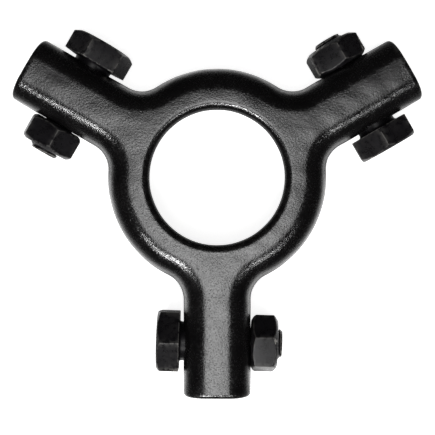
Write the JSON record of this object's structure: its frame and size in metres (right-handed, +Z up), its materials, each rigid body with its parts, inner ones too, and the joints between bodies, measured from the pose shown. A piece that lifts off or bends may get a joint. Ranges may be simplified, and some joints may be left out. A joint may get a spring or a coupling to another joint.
{
  "type": "three-arm clamp hub",
  "caption": "Round hub with a central bore and three arms, each with a finger slot underneath and a cross pivot bolt and nut.",
  "frame": {"origin": "on the ring's axis, in the plane of the hub's underside", "axes": "+Z up along the ring's axis, towards the crown; one arm points along -Y, and the other two are 120 degrees to either side of it"},
  "size_m": [0.0998, 0.089, 0.018],
  "materials": {
    "hub_steel": "glossy black enamel over a forged, slightly pebbled surface",
    "bolt_steel": "oiled black oxide, satin"
  },
  "bodies": {
    "hub": {"hub": "hub_steel"},
    "nut_front": {"nut_front": "bolt_steel"},
    "pivot_bolt_front": {"pivot_bolt_front": "bolt_steel"},
    "nut_left": {"nut_left": "bolt_steel"},
    "pivot_bolt_left": {"pivot_bolt_left": "bolt_steel"},
    "nut_right": {"nut_right": "bolt_steel"},
    "pivot_bolt_right": {"pivot_bolt_right": "bolt_steel"}
  },
  "joints": [
    {"name": "nut_turn_front", "type": "hinge", "parent": "hub", "child": "nut_front", "pos_m": [0, -0.04, 0.0085], "axis": [0.9995, -0.0314, 0], "range_deg": [0, 1800]},
    {"name": "bolt_back_off_front", "type": "slide", "parent": "hub", "child": "pivot_bolt_front", "axis": [-0.9995, 0.0314, 0], "range_m": [0, 0.00707]},
    {"name": "nut_turn_left", "type": "hinge", "parent": "hub", "child": "nut_left", "pos_m": [-0.03464, 0.02, 0.0085], "axis": [-0.5, -0.866, 0], "range_deg": [0, 1800]},
    {"name": "bolt_back_off_left", "type": "slide", "parent": "hub", "child": "pivot_bolt_left", "axis": [0.5, 0.866, 0], "range_m": [0, 0.00707]},
    {"name": "nut_turn_right", "type": "hinge", "parent": "hub", "child": "nut_right", "pos_m": [0.03464, 0.02, 0.0085], "axis": [-0.5, 0.866, 0], "range_deg": [0, 1800]},
    {"name": "bolt_back_off_right", "type": "slide", "parent": "hub", "child": "pivot_bolt_right", "axis": [0.5, -0.866, 0], "range_m": [0, 0.00707]}
  ],
  "couplings": [
    {"joint": "bolt_back_off_front", "follows": "nut_turn_front", "m_per_rad": 0.00022457},
    {"joint": "bolt_back_off_left", "follows": "nut_turn_left", "m_per_rad": 0.00022457},
    {"joint": "bolt_back_off_right", "follows": "nut_turn_right", "m_per_rad": 0.00022457}
  ]
}
